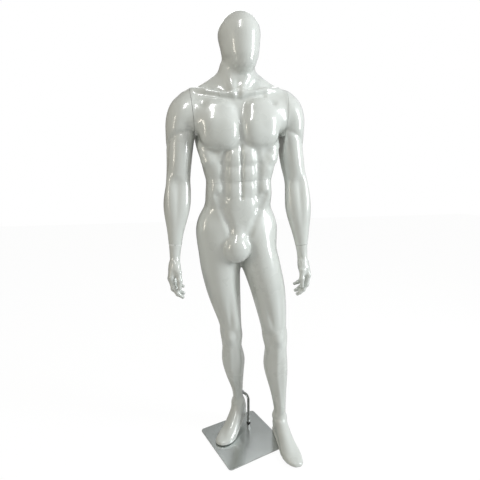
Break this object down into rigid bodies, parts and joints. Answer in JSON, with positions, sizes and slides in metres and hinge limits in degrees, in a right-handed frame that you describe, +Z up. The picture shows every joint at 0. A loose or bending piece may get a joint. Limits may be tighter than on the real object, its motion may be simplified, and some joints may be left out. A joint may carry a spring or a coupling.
{
  "type": "display mannequin",
  "caption": "Full-height faceless male display mannequin in glossy shells on a square steel base with a bent calf rod; torso, arms and hands turn and come off.",
  "frame": {"origin": "centre of the underside of the base, on the floor", "axes": "+Z up; the figure's body faces -Y; +X is the figure's left-hand side"},
  "size_m": [0.6476, 0.42, 1.879],
  "materials": {
    "shell_white": "high-gloss white lacquer on moulded glass-fibre shell",
    "plate_steel": "polished stainless steel sheet, faint grain",
    "rod_steel": "polished steel rod",
    "fitting_steel": "zinc-plated, turned or pressed steel",
    "mat_felt": "black felt",
    "bush_black": "black rubber",
    "ring_plywood": "bare birch plywood"
  },
  "bodies": {
    "base": {"base_plate": "plate_steel", "base_mat": "mat_felt", "base_bolt": "fitting_steel", "support_rod": "rod_steel", "rod_bush": "bush_black"},
    "lower_figure": {"lower_body": "shell_white", "calf_socket": "fitting_steel", "lower_waist_ring": "ring_plywood", "lower_waist_plate": "fitting_steel", "lower_waist_screws": "fitting_steel", "waist_stud": "fitting_steel"},
    "torso": {"upper_torso": "shell_white", "upper_waist_ring": "ring_plywood", "upper_waist_plate": "fitting_steel", "upper_waist_screws": "fitting_steel", "right_keyhole_plate": "fitting_steel", "left_keyhole_plate": "fitting_steel", "right_keyhole_screws": "fitting_steel", "left_keyhole_screws": "fitting_steel"},
    "right_arm_assembly": {"right_arm": "shell_white", "right_arm_plate": "fitting_steel", "right_arm_stud": "fitting_steel", "right_arm_screws": "fitting_steel", "right_wrist_socket": "fitting_steel"},
    "right_hand_assembly": {"right_hand": "shell_white", "right_wrist_peg": "fitting_steel"},
    "left_arm_assembly": {"left_arm": "shell_white", "left_arm_plate": "fitting_steel", "left_arm_stud": "fitting_steel", "left_arm_screws": "fitting_steel", "left_wrist_socket": "fitting_steel"},
    "left_hand_assembly": {"left_hand": "shell_white", "left_wrist_peg": "fitting_steel"}
  },
  "joints": [
    {"name": "calf_lift_off", "type": "slide", "parent": "base", "child": "lower_figure", "axis": [-0.7399, -0.1983, 0.6428], "range_m": [0, 0.04]},
    {"name": "waist_turn", "type": "hinge", "parent": "lower_figure", "child": "torso", "pos_m": [-0.005, 0.042, 1.211], "axis": [-0.0698, 0, 0.9976], "range_deg": [0, 35]},
    {"name": "right_shoulder_turn", "type": "hinge", "parent": "torso", "child": "right_arm_assembly", "pos_m": [-0.196, 0.045, 1.478], "axis": [0.9962, 0, 0.0872], "range_deg": [-70, 25]},
    {"name": "left_shoulder_turn", "type": "hinge", "parent": "torso", "child": "left_arm_assembly", "pos_m": [0.196, 0.05, 1.49], "axis": [0.9986, 0, -0.0523], "range_deg": [-70, 25]},
    {"name": "right_wrist_turn", "type": "hinge", "parent": "right_arm_assembly", "child": "right_hand_assembly", "pos_m": [-0.283, -0.004, 0.948], "axis": [0.0687, 0.1736, 0.9824], "range_deg": [-40, 40]},
    {"name": "left_wrist_turn", "type": "hinge", "parent": "left_arm_assembly", "child": "left_hand_assembly", "pos_m": [0.272, -0.004, 0.928], "axis": [-0.0518, 0.1392, 0.9889], "range_deg": [-40, 40]}
  ]
}
